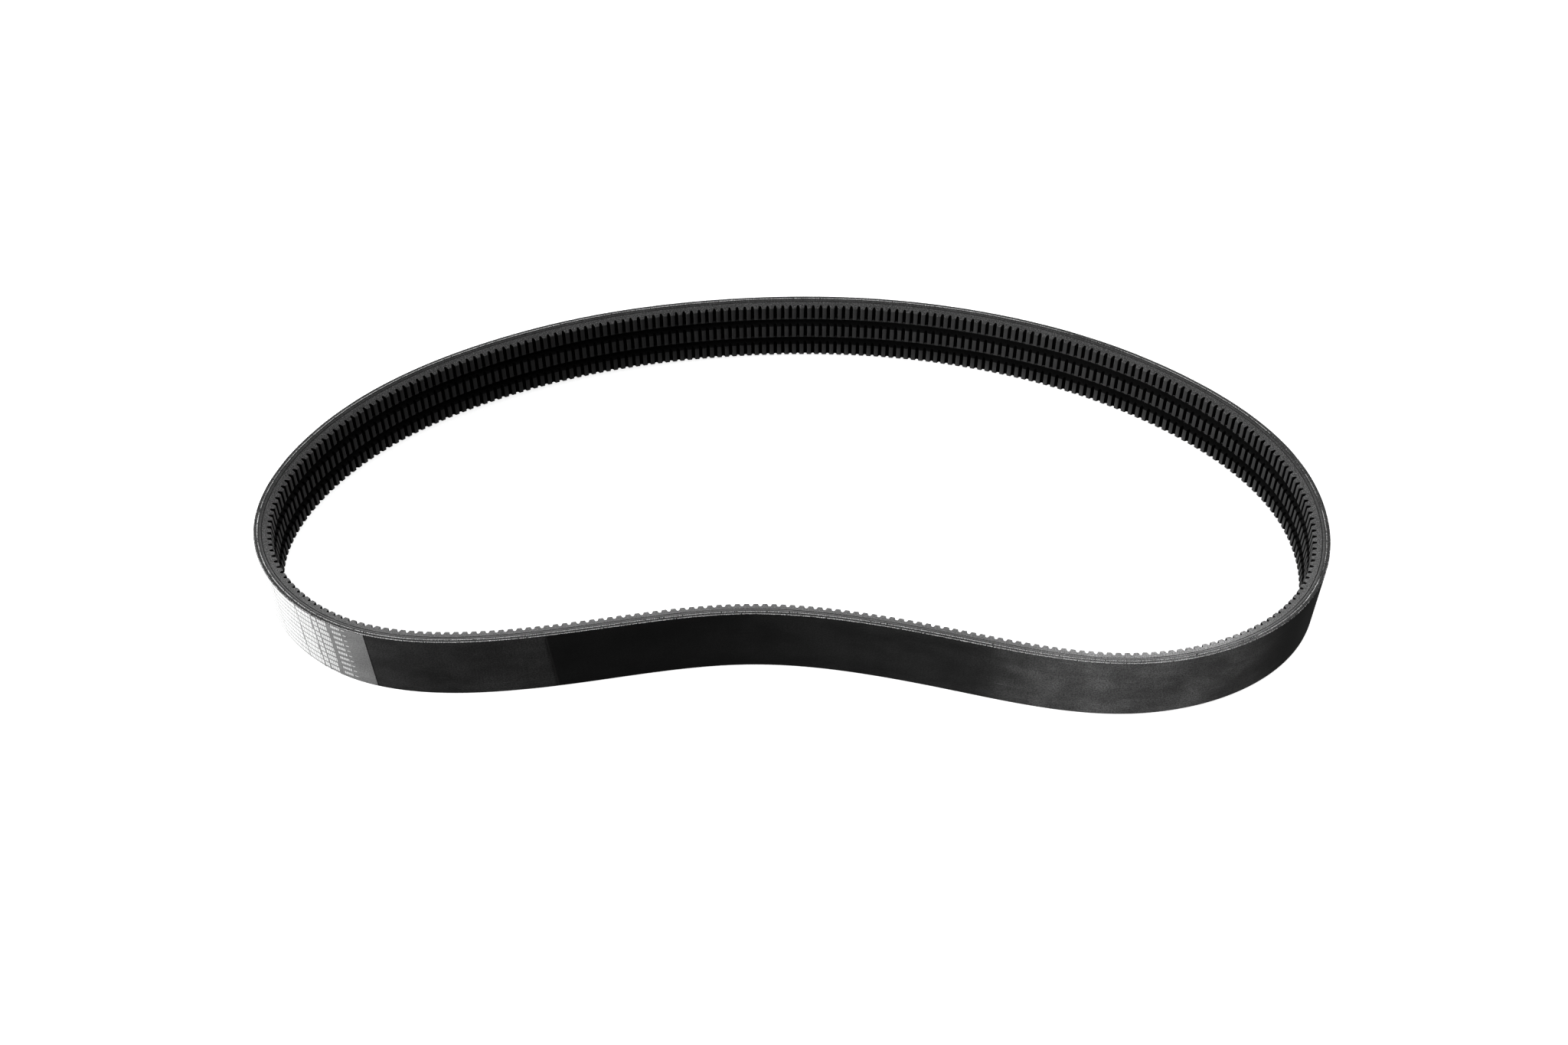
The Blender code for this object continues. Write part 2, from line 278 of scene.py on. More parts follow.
class Loop:
    """The outer face in plan, read by length along it or by cog number."""

    def __init__(self):
        points = closed_b_spline(np.array(LOOP_MM, float) * MM, CURVE_STEPS)
        points -= (points.min(axis=0) + points.max(axis=0)) / 2
        along = np.roll(points, -1, axis=0) - np.roll(points, 1, axis=0)
        along /= np.linalg.norm(along, axis=1, keepdims=True)
        inward = np.stack([-along[:, 1], along[:, 0]], axis=1)
        cord = running_length(points + inward * NEUTRAL_DEPTH)
        self.lengths = running_length(points)
        self.total = self.lengths[-1]
        self.cogs = cord / cord[-1] * COG_COUNT
        self.points = np.concatenate([points, points[:1]])
        self.inward = np.concatenate([inward, inward[:1]])

    def frame_at(self, s):
        """Plan points and inward unit normals at these lengths."""
        s = np.mod(s, self.total)
        at = np.stack([np.interp(s, self.lengths, self.points[:, i]) for i in (0, 1)], axis=1)
        inward = np.stack([np.interp(s, self.lengths, self.inward[:, i]) for i in (0, 1)], axis=1)
        return at, inward / np.linalg.norm(inward, axis=1, keepdims=True)

    def length_of_cog(self, cog):
        """Length along the outer face at these cog numbers, which may be fractions."""
        turns = np.floor(cog / COG_COUNT)
        return np.interp(cog - turns * COG_COUNT, self.cogs, self.lengths) + turns * self.total

    def stations(self, spacing):
        """Evenly spaced lengths, all the way round."""
        count = int(round(self.total / spacing))
        return np.arange(count) * self.total / count


def stations_between(start, end, spacing):
    """Evenly spaced lengths from start to end, with both included."""
    return np.linspace(start, end, int(round((end - start) / spacing)) + 1)


def smooth_noise(rng, count, cell):
    """Periodic noise of about unit size for count samples, with a bump every cell samples."""
    knots = max(4, int(round(count / cell)))
    values = rng.normal(0.0, 1.0, knots)
    at = np.arange(count) / count * knots
    low = np.floor(at).astype(int)
    t = smooth_step(at - low)
    return values[low % knots] * (1 - t) + values[(low + 1) % knots] * t


def smooth_step(t):
    return t * t * (3 - 2 * t)


# ---------------------------------------------------------------- meshes


def mesh_from(name, vertices, faces, uvs, material, smooth_under):
    """An object from vertices, faces of one size and a UV for each face corner."""
    mesh = bpy.data.meshes.new(name)
    mesh.vertices.add(len(vertices))
    mesh.vertices.foreach_set("co", np.asarray(vertices, np.float32).ravel())
    mesh.loops.add(faces.size)
    mesh.loops.foreach_set("vertex_index", faces.astype(np.int32).ravel())
    mesh.polygons.add(len(faces))
    mesh.polygons.foreach_set("loop_start", np.arange(0, faces.size, faces.shape[1], dtype=np.int32))
    layer = mesh.uv_layers.new(name="belt")
    layer.uv.foreach_set("vector", np.asarray(uvs, np.float32).ravel())
    mesh.update(calc_edges=True)
    mesh.validate()
    mesh.shade_smooth()
    mesh.set_sharp_from_angle(angle=math.radians(smooth_under))
    mesh.materials.append(material)
    obj = bpy.data.objects.new(name, mesh)
    bpy.context.scene.collection.objects.link(obj)
    return obj


def loft(name, loop, s, depth, height, closed, material, smooth_under=40.0, lean=0.0):
    """A closed section lofted along the belt.

    s holds the lengths of the stations, and depth and height the section's points at each of them. The
    sections run anticlockwise when seen along the belt, with the depth to the right and the height up. With a
    lean they slope along the belt by that much for each unit up from their middle.
    """
    stations, ring = depth.shape
    slope = lean * (height - (height.min() + height.max()) / 2)
    at, inward = loop.frame_at((s[:, None] + slope).ravel())
    plan = at + inward * depth.ravel()[:, None]
    plan = plan.reshape(stations, ring, 2)
    vertices = np.concatenate([plan, height[:, :, None]], axis=2).reshape(-1, 3)
    i = np.arange(stations if closed else stations - 1)[:, None]
    j = np.arange(ring)[None, :]
    s_next = np.append(s, s[0] + loop.total)
    around = np.hypot(np.roll(depth[0], -1) - depth[0], np.roll(height[0], -1) - height[0])
    v = np.concatenate([[0.0], np.cumsum(around)])
    corners, uvs = [], []
    for ahead, round_it in ((0, 0), (0, 1), (1, 1), (1, 0)):
        row, column = (i + ahead) % stations, (j + round_it) % ring
        corners.append(row * ring + column)
        along = s_next[i + ahead] + slope[row, column]
        uvs.append(np.stack([along, np.broadcast_to(v[j + round_it], along.shape)], axis=2))
    faces = np.stack(corners, axis=2).reshape(-1, 4)
    uvs = np.stack(uvs, axis=2).reshape(-1, 2)
    obj = mesh_from(name, vertices, faces, uvs, material, smooth_under)
    if not closed:
        cap_ends(obj.data, ring, stations)
    return obj


def cap_ends(mesh, ring, stations):
    """Closes the two ends of an open loft with one face each."""
    work = bmesh.new()
    work.from_mesh(mesh)
    work.verts.ensure_lookup_table()
    first = [work.verts[k] for k in range(ring)]
    last = [work.verts[(stations - 1) * ring + k] for k in range(ring)]
    work.faces.new(first)
    work.faces.new(list(reversed(last)))
    bmesh.ops.recalc_face_normals(work, faces=work.faces)
    work.to_mesh(mesh)
    work.free()


def sweep_section(name, loop, s, section, closed, material, rng=None, wander=0.0, lean=0.0):
    """One section lofted along the belt. Its low and high edges may wander a little, as cut edges do."""
    depth = np.repeat(section[None, :, 0], len(s), axis=0)
    height = np.repeat(section[None, :, 1], len(s), axis=0)
    if rng is not None:
        middle = (section[:, 1].min() + section[:, 1].max()) / 2
        for side in (-1, 1):
            fine = sum(smooth_noise(rng, len(s), cell) for cell in WANDER_CELLS)
            here = np.sign(section[:, 1] - middle) == side
            height[:, here] += side * wander * (fine[:, None] - 1.0)
    return loft(name, loop, s, depth, height, closed, material, lean=lean)


def rounded_box_section(depths, low, high, radius, steps=2, across=0):
    """A rounded rectangle as (depth, height) points, anticlockwise with the depth to the right.

    Each corner takes this many steps, and the outer side gets this many points across it.
    """
    d0, d1 = depths
    points = []
    for cx, cy, start in (
        (d1 - radius, high - radius, 0), (d0 + radius, high - radius, 90),
        (d0 + radius, low + radius, 180), (d1 - radius, low + radius, 270),
    ):
        for k in range(steps + 1):
            a = math.radians(start + 90 * k / steps)
            points.append((cx + radius * math.cos(a), cy + radius * math.sin(a)))
        if across and start == 90:
            for k in range(1, across + 1):
                points.append((d0, high - radius - (high - low - 2 * radius) * k / (across + 1)))
    return np.array(points)


def between_seams(depths):
    """Half a seam taken off both faces of a layer."""
    return depths[0] + SEAM / 2, depths[1] - SEAM / 2


# ---------------------------------------------------------------- materials


class Nodes:
    """A material's node tree, with short calls to add and join nodes."""

    def __init__(self, name):
        self.material = bpy.data.materials.new(name)
        self.material.use_nodes = True
        self.tree = self.material.node_tree
        self.shader = self.tree.nodes["Principled BSDF"]

    def add(self, kind, inputs=None, **settings):
        """A new node. Each input is a socket to link or a value to set."""
        node = self.tree.nodes.new("ShaderNode" + kind)
        for key, value in settings.items():
            setattr(node, key, value)
        for key, value in (inputs or {}).items():
            if isinstance(value, bpy.types.NodeSocket):
                self.tree.links.new(value, node.inputs[key])
            else:
                node.inputs[key].default_value = value
        return node

    def math(self, operation, a, b=0.0):
        return self.add("Math", {0: a, 1: b}, operation=operation).outputs[0]

    def times(self, a, b):
        return self.math("MULTIPLY", a, b)

    def plus(self, a, b):
        return self.math("ADD", a, b)

    def axis(self, vector, number):
        """One coordinate of a vector."""
        return self.add("SeparateXYZ", {0: vector}).outputs[number]

    def belt(self, along=1.0, across=1.0):
        """The belt coordinate in millimetres, scaled along and across the belt."""
        uv = self.add("UVMap", uv_map="belt").outputs[0]
        scaled = self.add("Mapping", {"Vector": uv, "Scale": (along / MM, across / MM, 1.0)})
        return scaled.outputs[0]

    def place(self):
        """The object coordinate in millimetres."""
        at = self.add("TexCoord").outputs["Object"]
        return self.add("Mapping", {"Vector": at, "Scale": (1.0 / MM, 1.0 / MM, 1.0 / MM)}).outputs[0]

    def noise(self, vector, scale, detail=2.0, roughness=0.55):
        inputs = {"Vector": vector, "Scale": scale, "Detail": detail, "Roughness": roughness}
        return self.add("TexNoise", inputs).outputs[0]

    def ramp(self, value, across, to=(0.0, 1.0)):
        """A value's range from across[0] to across[1] mapped smoothly onto another, and held beyond it."""
        inputs = {
            "Value": value, "From Min": across[0], "From Max": across[1], "To Min": to[0], "To Max": to[1],
        }
        return self.add("MapRange", inputs, interpolation_type="SMOOTHSTEP").outputs[0]

    def grey(self, value):
        return self.add("CombineColor", {0: value, 1: value, 2: value}).outputs[0]

    def threads(self, along, pitch):
        """Signed round threads across this coordinate, one for each pitch."""
        return self.math("SINE", self.times(along, math.pi / pitch))

    def bloom_and_painted_light(self, before_splice, right_bend):
        """How much paler bloom and painted light make the belt here: 1 where there's none."""
        uv = self.add("UVMap", uv_map="belt").outputs[0]
        u = self.math("MODULO", self.axis(uv, 0), LOOP.total)
        up = self.axis(self.add("TexCoord").outputs["Object"], 2)
        lean = self.times(self.math("SUBTRACT", up, BELT_MIDDLE), SPLICE_LEAN)
        # Before the splice the cover is paler, growing paler towards it: partly a real panel difference,
        # partly painted sheen
        is_before = self.math("LESS_THAN", self.math("SUBTRACT", u, lean), SPLICE_AT)
        near = self.ramp(u, PANEL_SHEEN_NEAR_SPLICE, (before_splice, PANEL_SHEEN_SPLICE_GAIN * before_splice))
        patches = self.noise(self.belt(0.7, 1.0), 0.035, detail=3.0, roughness=0.6)
        # On the right-hand bend: a chalky bloom with a painted pool of light over it
        bend = self.times(self.ramp(u, BEND_BLOOM_AND_LIGHT_RISE), self.ramp(u, BEND_BLOOM_AND_LIGHT_FALL, (1.0, 0.0)))
        bend = self.times(self.times(bend, right_bend), self.ramp(patches, (0.35, 0.65), (0.70, 1.20)))
        return self.plus(self.plus(self.times(is_before, near), bend), 1.0)

    def dust(self, at, amount):
        """Sparse pale specks, as a value from 0 to amount."""
        specks = self.ramp(self.noise(at, 1.9, detail=1.0), (0.70, 0.78))
        patches = self.ramp(self.noise(at, 0.06), (0.45, 0.70), (0.15, 1.0))
        return self.times(self.times(specks, patches), amount)

    def bump(self, height, distance, strength, over=None):
        """The normal of a surface that rises with this height, over another bump if one is given."""
        inputs = {"Height": height, "Distance": distance, "Strength": strength}
        if over is not None:
            inputs["Normal"] = over
        return self.add("Bump", inputs).outputs[0]

    def out(self, tone, roughness, normal, specular):
        """Joins the shader to its inputs, the tone as a grey, and gives the material."""
        for key, value in (
            ("Base Color", self.grey(tone)), ("Roughness", roughness), ("Normal", normal),
            ("Specular IOR Level", specular),
        ):
            if isinstance(value, bpy.types.NodeSocket):
                self.tree.links.new(value, self.shader.inputs[key])
            elif value is not None:
                self.shader.inputs[key].default_value = value
        return self.material


def weave_height(n, at):
    """A plain weave's surface, from 0 between its threads to 1 on top of them."""
    split = n.add("SeparateXYZ", {0: at})
    warp, weft = n.threads(split.outputs[0], WARP_PITCH), n.threads(split.outputs[1], WEFT_PITCH)
    over = n.math("GREATER_THAN", n.times(warp, weft), 0.0)
    warp, weft = n.math("ABSOLUTE", warp), n.math("ABSOLUTE", weft)
    return n.math("SQRT", n.add("Mix", {0: over, 2: warp, 3: weft}, data_type="FLOAT").outputs[0])


def cover_material():
    """Woven cover filled with rubber: a faint plain weave, mottling, scuffs, dust, bloom and painted light.
    """
    n = Nodes("cover_fabric")
    at = n.belt()
    weave = weave_height(n, at)
    grain = n.noise(at, 0.9, detail=4.0, roughness=0.8)
    mottle = n.noise(n.belt(0.6, 1.0), 0.045, detail=4.0, roughness=0.6)
    streaks = n.noise(n.belt(1.0, 0.06), 0.5, roughness=0.5)
    scuffs = n.ramp(n.noise(n.belt(0.02, 1.0), 1.3, roughness=0.6), (0.60, 0.68))
    scuffs = n.times(scuffs, n.ramp(n.noise(at, 0.03), (0.50, 0.62)))
    tone = n.ramp(mottle, (0.32, 0.68), (0.0105, 0.0185))
    tone = n.times(tone, n.ramp(grain, (0.35, 0.65), (0.40, 1.65)))
    tone = n.times(tone, n.ramp(streaks, (0.2, 0.8), (0.93, 1.07)))
    tone = n.plus(tone, n.times(scuffs, 0.012))
    # Painted light on the right-hand bend over a chalky bloom, and painted sheen on the paler panel before
    # the splice
    tone = n.times(tone, n.bloom_and_painted_light(before_splice=1.35, right_bend=7.0))
    tone = n.plus(tone, n.dust(at, 0.06))
    rough = n.ramp(mottle, (0.25, 0.75), (0.50, 0.64))
    rough = n.plus(rough, n.ramp(grain, (0.2, 0.8), (-0.05, 0.08)))
    normal = n.bump(weave, 0.05 * MM, 0.35)
    normal = n.bump(grain, 0.06 * MM, 0.55, over=normal)
    return n.out(tone, rough, normal, specular=0.35)


def label_material():
    """Grey transfer film, satin, rubbed thin in places, with a painted highlight round the loop's left end.
    """
    n = Nodes("label_film")
    at = n.belt()
    grain = n.noise(at, 0.9, detail=4.0, roughness=0.75)
    cloud = n.noise(at, 0.05, detail=3.0)
    tone = n.ramp(cloud, (0.3, 0.7), (0.225, 0.285))
    tone = n.times(tone, n.ramp(grain, (0.38, 0.62), (0.76, 1.26)))
    u = n.axis(at, 0)
    # A painted highlight round the loop's left end, held down where the film turns away from the light
    for between, factors in LABEL_PAINTED_HIGHLIGHT:
        tone = n.times(tone, n.ramp(u, between, factors))
    rough = n.ramp(grain, (0.2, 0.8), (0.34, 0.46))
    return n.out(tone, rough, n.bump(grain, 0.03 * MM, 0.5), specular=0.5)


def print_material():
    """White ink, slightly broken up."""
    n = Nodes("label_ink")
    grain = n.noise(n.place(), 2.6, roughness=0.6)
    tone = n.ramp(grain, (0.30, 0.62), (0.78, 0.92))
    return n.out(tone, 0.5, n.bump(grain, 0.01 * MM, 0.4), specular=0.4)


def cut_rubber(name, tones, fibre, rough, specular, bend_bloom_and_sheen):
    """A rubber layer's cut edge: grain, cutting lines along the belt, pale short fibres, painted sheen on the
    bend.
    """
    n = Nodes(name)
    at = n.belt()
    grain = n.noise(at, 0.95, detail=4.0, roughness=0.8)
    cloud = n.noise(n.belt(0.3, 1.0), 0.12, detail=3.0)
    lines = n.noise(n.belt(0.03, 1.0), 3.2, roughness=0.5)
    tone = n.ramp(cloud, (0.3, 0.7), tones)
    tone = n.times(tone, n.ramp(grain, (0.40, 0.62), (0.35, 2.0)))
    tone = n.times(tone, n.ramp(lines, (0.3, 0.7), (0.88, 1.12)))
    # Painted sheen on the right-hand bend; the cut edges get no step at the splice
    tone = n.times(tone, n.bloom_and_painted_light(before_splice=0.0, right_bend=bend_bloom_and_sheen))
    fibres = n.ramp(n.noise(n.belt(0.8, 1.6), 1.0), (0.53, 0.64))
    tone = n.plus(tone, n.times(fibres, fibre))
    roughness = n.ramp(grain, (0.3, 0.7), (rough - 0.10, rough + 0.16))
    normal = n.bump(lines, 0.05 * MM, 0.30)
    normal = n.bump(grain, 0.25 * MM, 0.80, over=normal)
    return n.out(tone, roughness, normal, specular)


def moulded_rubber(name, tones, rough, specular, sheen=0.0):
    """Moulded cog faces, smoother and darker than cut flanks; also painted shade for notches and grooves."""
    n = Nodes(name)
    at = n.place()
    grain = n.noise(at, 1.6, detail=3.0, roughness=0.65)
    cloud = n.noise(at, 0.05, detail=3.0)
    tone = n.ramp(cloud, (0.3, 0.7), tones)
    tone = n.times(tone, n.ramp(grain, (0.25, 0.75), (0.80, 1.25)))
    # Painted light: paler towards the edge that the belt stands on, as if lit from the floor below
    tone = n.times(tone, n.ramp(n.axis(at, 2), (0.0, 15.0), (2.6, 1.0)))
    tone = n.plus(tone, n.dust(at, 2.0 * tones[0]))
    roughness = n.ramp(grain, (0.2, 0.8), (rough - 0.07, rough + 0.07))
    n.shader.inputs["Sheen Weight"].default_value = sheen
    return n.out(tone, roughness, n.bump(grain, 0.08 * MM, 0.5), specular)


def ply_material():
    """The cut edge and inner face of the rubber-filled woven ply."""
    n = Nodes("band_ply")
    at = n.belt()
    threads = n.math("ABSOLUTE", n.threads(n.axis(at, 0), PLY_THREAD_PITCH))
    grain = n.noise(at, 2.0, detail=3.0, roughness=0.7)
    tone = n.ramp(grain, (0.3, 0.7), (0.020, 0.045))
    tone = n.times(tone, n.ramp(threads, (0.1, 0.9), (0.7, 1.15)))
    normal = n.bump(threads, 0.08 * MM, 0.5)
    return n.out(tone, 0.72, n.bump(grain, 0.08 * MM, 0.5, over=normal), specular=0.4)


def yarn_material():
    """Ends of the cut cotton yarns, pale and matt."""
    n = Nodes("yarn_ends")
    fuzz = n.noise(n.place(), 5.0, roughness=0.7)
    shade = n.noise(n.place(), 0.35, detail=1.0)
    tone = n.ramp(shade, (0.35, 0.65), (0.78, 0.94))
    tone = n.times(tone, n.ramp(fuzz, (0.3, 0.7), (0.80, 1.08)))
    return n.out(tone, 0.6, n.bump(fuzz, 0.06 * MM, 0.6), specular=0.5)


def floor_material():
    """A white light table: an even glow under a matt top, so that the belt's shadow stays faint."""
    n = Nodes("floor")
    soft = n.noise(n.place(), 0.004)
    n.shader.inputs["Emission Color"].default_value = WHITE
    n.shader.inputs["Emission Strength"].default_value = FLOOR_GLOW
    return n.out(n.ramp(soft, (0.3, 0.7), (0.80, 0.82)), 0.9, None, specular=0.1)


def belt_materials():
    """The belt's materials by the names that the pieces use. Tones are a rubber's darkest and palest grey."""
    return {
        "cover": cover_material(),
        "label": label_material(),
        "print": print_material(),
        "gum": cut_rubber(
            "band_gum", tones=(0.025, 0.038), fibre=0.07, rough=0.64, specular=0.38, bend_bloom_and_sheen=4.0
        ),
        "ply": ply_material(),
        "yarn": yarn_material(),
        "overcord": cut_rubber(
            "overcord_rubber", tones=(0.014, 0.022), fibre=0.04, rough=0.62, specular=0.4, bend_bloom_and_sheen=5.0
        ),
        "cord": cut_rubber(
            "cord_rubber", tones=(0.024, 0.035), fibre=0.05, rough=0.52, specular=0.5, bend_bloom_and_sheen=4.0
        ),
        "adhesion": cut_rubber(
            "adhesion_gum", tones=(0.011, 0.017), fibre=0.0, rough=0.72, specular=0.20, bend_bloom_and_sheen=2.5
        ),
        "base": cut_rubber(
            "base_rubber", tones=(0.036, 0.054), fibre=0.11, rough=0.52, specular=0.38, bend_bloom_and_sheen=3.5
        ),
        "crest": moulded_rubber(
            "cog_crest_rubber", tones=(0.021, 0.029), rough=0.50, specular=0.3, sheen=0.22
        ),
        # Notch roots: a darker moulded root, with painted shade in the recess
        "notch": moulded_rubber("cog_notch_rubber", tones=(0.0012, 0.0022), rough=0.65, specular=0.05),
        # Flanks inside the grooves between strands: painted shade
        "groove": moulded_rubber("groove_rubber", tones=(0.003, 0.005), rough=0.65, specular=0.08),
    }


# ---------------------------------------------------------------- the band


def make_cover(loop, materials):
    """The cover, thicker where its ends lap, with a rounded edge on both sides."""
    low, high = heights("cover_fabric")
    s = stations_between(SPLICE_AT + SPLICE_HAIR, SPLICE_AT + loop.total - SPLICE_HAIR, COVER_STEP)
    section = rounded_box_section(
        (COVER_DEPTHS[0], COVER_DEPTHS[1] - SEAM), low, high, COVER_CORNER, steps=3, across=9
    )
    rng = np.random.default_rng(SEED)
    depth = np.repeat(section[None, :, 0], len(s), axis=0)
    height = np.repeat(section[None, :, 1], len(s), axis=0)
    to_splice = SPLICE_AT + loop.total - s
    lap = SPLICE_SWELL * smooth_step(np.clip(1 - to_splice / SPLICE_LAP, 0, 1))
    swell = sum(size * smooth_noise(rng, len(s), cell) for size, cell in COVER_WAVES)
    outer = section[:, 0] < (COVER_DEPTHS[0] + COVER_DEPTHS[1]) / 2
    depth[:, outer] -= (lap + swell - COVER_SUNK)[:, None]
    return loft(
        "cover_fabric_skin", loop, s, depth, height, False, materials["cover"], lean=SPLICE_LEAN
    )


def make_sheet(name, loop, depths, short, material, rng):
    """A sheet of the tie band that stops a little short of the band's cut edges."""
    low, high = heights("tie_band_gum")
    section = rounded_box_section(between_seams(depths), low + short, high - short, SHEET_CORNER)
    s = loop.stations(SHEET_STEP)
    return sweep_section(name, loop, s, section, True, material, rng, SHEET_WANDER)


def place_domes(name, loop, centres, sizes, material):
    """Small closed domes, each given by (length, depth, height) and its three half sizes."""
    at, inward = loop.frame_at(centres[:, 0])
    along = np.stack([inward[:, 1], -inward[:, 0]], axis=1)
    turns = np.arange(DOME_SIDES) * 2 * math.pi / DOME_SIDES
    shape = [(0.0, 0.0, -1.0)]
    for radius, up in DOME_RINGS:
        shape += [(radius * math.cos(t), radius * math.sin(t), up) for t in turns]
    shape.append((0.0, 0.0, 1.0))
    shape = np.array(shape)
    local = shape[None] * sizes[:, None, :]
    plan = at + inward * centres[:, 1:2]
    xy = plan[:, None] + along[:, None] * local[:, :, :1] + inward[:, None] * local[:, :, 1:2]
    z = centres[:, 2][:, None] + local[:, :, 2]
    vertices = np.concatenate([xy, z[:, :, None]], axis=2).reshape(-1, 3)
    faces = []
    top = len(shape) - 1
    for k in range(DOME_SIDES):
        k2 = (k + 1) % DOME_SIDES
        low, low2, high, high2 = 1 + k, 1 + k2, 1 + DOME_SIDES + k, 1 + DOME_SIDES + k2
        faces += [(0, low2, low), (top, high, high2), (low, low2, high2), (low, high2, high)]
    offsets = np.arange(len(centres))[:, None, None] * len(shape)
    faces = (np.array(faces)[None] + offsets).reshape(-1, 3)
    return mesh_from(name, vertices, faces, np.zeros((faces.size, 2)), material, smooth_under=80.0)


def smeared_over(rng, loop, s):
    """How deep the smeared rubber hides the yarn ends at these lengths, patchily."""
    deep = np.zeros(len(s))
    for start, full, falls, end, most in YARN_SMEARS:
        for turn in (0.0, loop.total):
            share = np.interp(s + turn, (start, full, falls, end), (0.0, 1.0, 1.0, 0.0))
            deep = np.maximum(deep, most * share)
    patches = SMEAR_MEAN + SMEAR_VARIES * smooth_noise(rng, len(s), SMEAR_CELL)
    return deep * np.clip(patches, 0.0, SMEAR_MOST) + SMEAR_SCATTER * rng.normal(0, 1, len(s))


def yarn_row(rng, loop, depth, height, up):
    """One edge's row of yarn ends: a centre and half sizes for each, unevenly set."""
    count = int(loop.total / YARN_PITCH)
    s = (np.arange(count) + rng.uniform(-YARN_JITTER, YARN_JITTER, count)) * loop.total / count
    keep = rng.random(count) < YARN_SHOWN
    depths = depth + rng.normal(0, YARN_DEPTH_SCATTER, count)
    size = YARN_RADIUS * rng.uniform(*YARN_SIZES, count)
    width = size * rng.uniform(*YARN_WIDTHS, count)
    sizes = np.stack([width, size, YARN_HEIGHT[0] * size + YARN_HEIGHT[1]], axis=1)
    heights_here = height - up * (YARN_SUNK + smeared_over(rng, loop, s))
    centres = np.stack([s, depths, heights_here], axis=1)
    return centres[keep], sizes[keep]


def make_yarn_ends(name, loop, depth, material, rng):
    """One cloth's yarn ends, on the band's upper and lower cut edges."""
    low, high = heights("tie_band_gum")
    rows = [yarn_row(rng, loop, depth, high, 1), yarn_row(rng, loop, depth, low, -1)]
    centres, sizes = (np.concatenate(both) for both in zip(*rows))
    return place_domes(name, loop, centres, sizes, material)


# ---------------------------------------------------------------- the strands


def half_width(depth):
    """Half a strand's width at this depth, from where its flanks start to slope inwards."""
    return STRAND_HALF - np.maximum(0.0, depth - FLANK_FROM) * math.tan(FLANK_ANGLE)


def cog_stations(loop, rng):
    """The stations along a cogged base: each one's cog number, bottom depth and whether a notch follows."""
    numbers = np.arange(COG_COUNT)
    at, inward = loop.frame_at(loop.length_of_cog(numbers.astype(float)))
    crest = at + inward * BELT_THICKNESS
    crest_pitch = np.linalg.norm(np.roll(crest, -1, axis=0) - np.roll(crest, 1, axis=0), axis=1) / 2
    half_mouth = (crest_pitch - COG_CREST_LENGTH) / 2
    share, drop = np.array(NOTCH_PROFILE).T
    share = np.concatenate([-share[:0:-1], share])
    drop = np.concatenate([drop[:0:-1], drop])
    cogs = numbers[:, None] + share[None, :] * (half_mouth / crest_pitch)[:, None]
    deep = BELT_THICKNESS - NOTCH_DEPTH * drop[None, :]
    deep = deep + NOTCH_UNEVEN * rng.normal(0, 1, COG_COUNT)[:, None]
    # One more station in the middle of each crest
    cogs = np.concatenate([cogs, numbers[:, None] + 0.5], axis=1)
    deep = np.concatenate([deep, np.full((COG_COUNT, 1), BELT_THICKNESS)], axis=1)
    drop = np.append(drop, 0.0)
    in_notch = np.tile(np.maximum(drop, np.roll(drop, -1)) > NOTCH_STARTS, COG_COUNT)
    return cogs.ravel(), deep.ravel(), in_notch


def make_base(strand, loop, middle, materials):
    """A strand's cogged base, with rounded notch roots and nearly sharp cut flanks."""
    rng = np.random.default_rng(BASE_SEED + STRANDS.index(strand))
    cogs, deep, in_notch = cog_stations(loop, rng)
    s = loop.length_of_cog(cogs)
    top = BASE_DEPTH + SEAM
    levels = [np.full_like(deep, level) for level in (top, top + BASE_SHOULDER, BASE_MIDDLE_DEPTH)]
    flank_depth = np.stack([*levels, deep - BASE_EDGE], axis=1)
    fray = BASE_FRAY * smooth_noise(rng, len(s), BASE_FRAY_CELL)[:, None]
    flank_height = half_width(flank_depth) + fray * np.array(BASE_FRAY_SHARES)
    corner_depth = np.stack([deep - BASE_CORNER_DEPTH, deep], axis=1)
    corner_height = half_width(corner_depth) - np.array(BASE_CORNER_CUTS)
    crest_height = half_width(deep)[:, None] * BASE_CREST_SHARE
    half_depth = np.concatenate([flank_depth, corner_depth, deep[:, None]], axis=1)
    half_height = np.concatenate([flank_height, corner_height, crest_height], axis=1)
    # From the crest's middle up to the strand's top edge, then across its top and back
    depth = np.concatenate([half_depth[:, ::-1], half_depth], axis=1)
    height = np.concatenate([half_height[:, ::-1], -half_height], axis=1) + middle
    name = f"{strand}_strand_cogged_base_rubber"
    base = loft(name, loop, s, depth, height, True, materials["base"], BASE_SHARP_ANGLE)
    for material in ("crest", "notch", "groove"):
        base.data.materials.append(materials[material])
    ring = depth.shape[1]
    half = ring // 2
    corners = len(BASE_CORNER_CUTS)
    place = np.arange(len(base.data.polygons)) % ring
    # Everything inside the cut flanks' corners came out of the mould. The flanks in a groove are cut, and
    # take the groove's painted shade.
    is_moulded = (place < corners) | (place >= ring - corners - 1)
    index = np.where(is_moulded, np.where(np.repeat(in_notch, ring), NOTCH, CREST), CUT)
    if strand != STRANDS[-1]:
        index[~is_moulded & (place < half)] = GROOVE
    if strand != STRANDS[0]:
        index[~is_moulded & (place >= half)] = GROOVE
    base.data.polygons.foreach_set("material_index", index.astype(np.int32))
    return base


